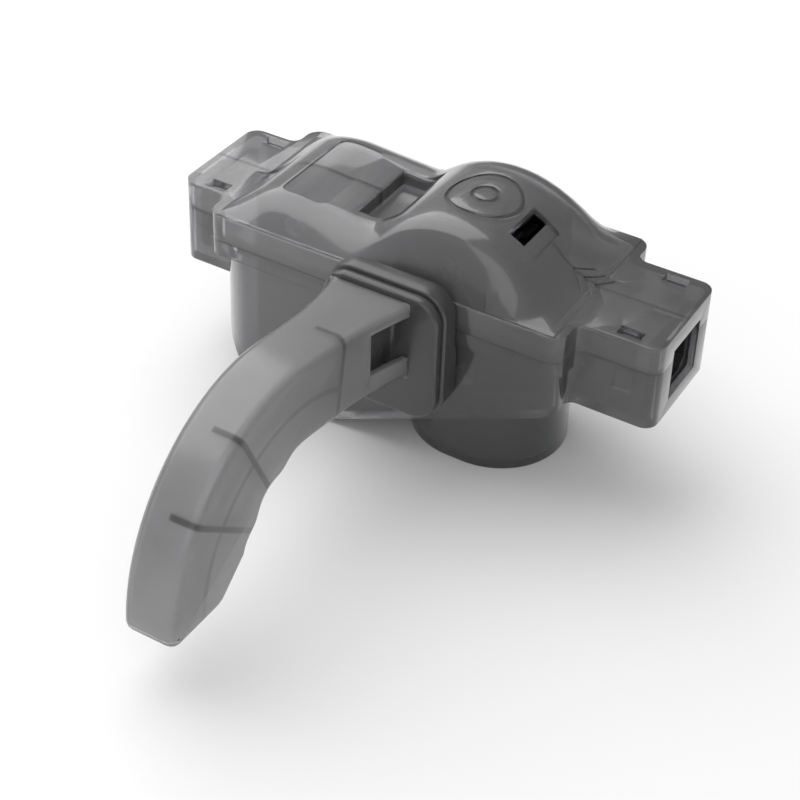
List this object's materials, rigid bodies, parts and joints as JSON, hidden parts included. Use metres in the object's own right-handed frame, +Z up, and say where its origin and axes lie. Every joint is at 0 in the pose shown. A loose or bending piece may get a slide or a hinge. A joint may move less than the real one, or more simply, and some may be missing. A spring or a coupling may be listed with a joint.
{
  "type": "bike chain cleaner",
  "caption": "Hand-held bicycle chain cleaner: smoky clear housing in two parts round the chain, brush wheels inside, and a curved hollow handle on a square collar.",
  "frame": {"origin": "on the flat foot of the sump, in the chain's plane, halfway along the housing", "axes": "X along the chain, -Y towards the handle, +Z up"},
  "size_m": [0.15, 0.1632, 0.0752],
  "materials": {
    "smoke_cover": "smoky clear, soft gloss",
    "smoke_base": "smoky clear, soft gloss",
    "grey_handle": "frosted, milky grey",
    "black_plastic": "satin",
    "black_bristle": "fine nylon tufts",
    "steel_pin": "drawn wire"
  },
  "bodies": {
    "chassis": {"base": "smoke_base", "collar_block": "smoke_base", "collar_plate": "smoke_cover", "handle_right": "grey_handle", "handle_left": "grey_handle", "lower_frame": "black_plastic", "guide_left": "black_plastic", "guide_right": "black_plastic", "lower_left_pin": "steel_pin", "lower_right_pin": "steel_pin"},
    "lid": {"cover": "smoke_cover", "upper_frame": "black_plastic", "upper_left_pin": "steel_pin", "upper_right_pin": "steel_pin"},
    "upper_left_wheel": {"upper_left_hub": "black_plastic", "upper_left_bristles": "black_bristle"},
    "upper_right_wheel": {"upper_right_hub": "black_plastic", "upper_right_bristles": "black_bristle"},
    "lower_left_wheel": {"lower_left_hub": "black_plastic", "lower_left_bristles": "black_bristle"},
    "lower_right_wheel": {"lower_right_hub": "black_plastic", "lower_right_bristles": "black_bristle"}
  },
  "joints": [
    {"name": "lid_lift", "type": "slide", "parent": "chassis", "child": "lid", "axis": [0, 0, 1], "range_m": [0, 0.06]},
    {"name": "upper_left_turn", "type": "hinge", "parent": "lid", "child": "upper_left_wheel", "pos_m": [-0.037, 0, 0.05465], "axis": [0, 1, 0], "continuous": true},
    {"name": "upper_right_turn", "type": "hinge", "parent": "lid", "child": "upper_right_wheel", "pos_m": [0.013, 0, 0.05905], "axis": [0, 1, 0], "continuous": true},
    {"name": "lower_left_turn", "type": "hinge", "parent": "chassis", "child": "lower_left_wheel", "pos_m": [-0.03, 0, 0.0256], "axis": [0, 1, 0], "continuous": true},
    {"name": "lower_right_turn", "type": "hinge", "parent": "chassis", "child": "lower_right_wheel", "pos_m": [0.019, 0, 0.0276], "axis": [0, 1, 0], "continuous": true}
  ]
}
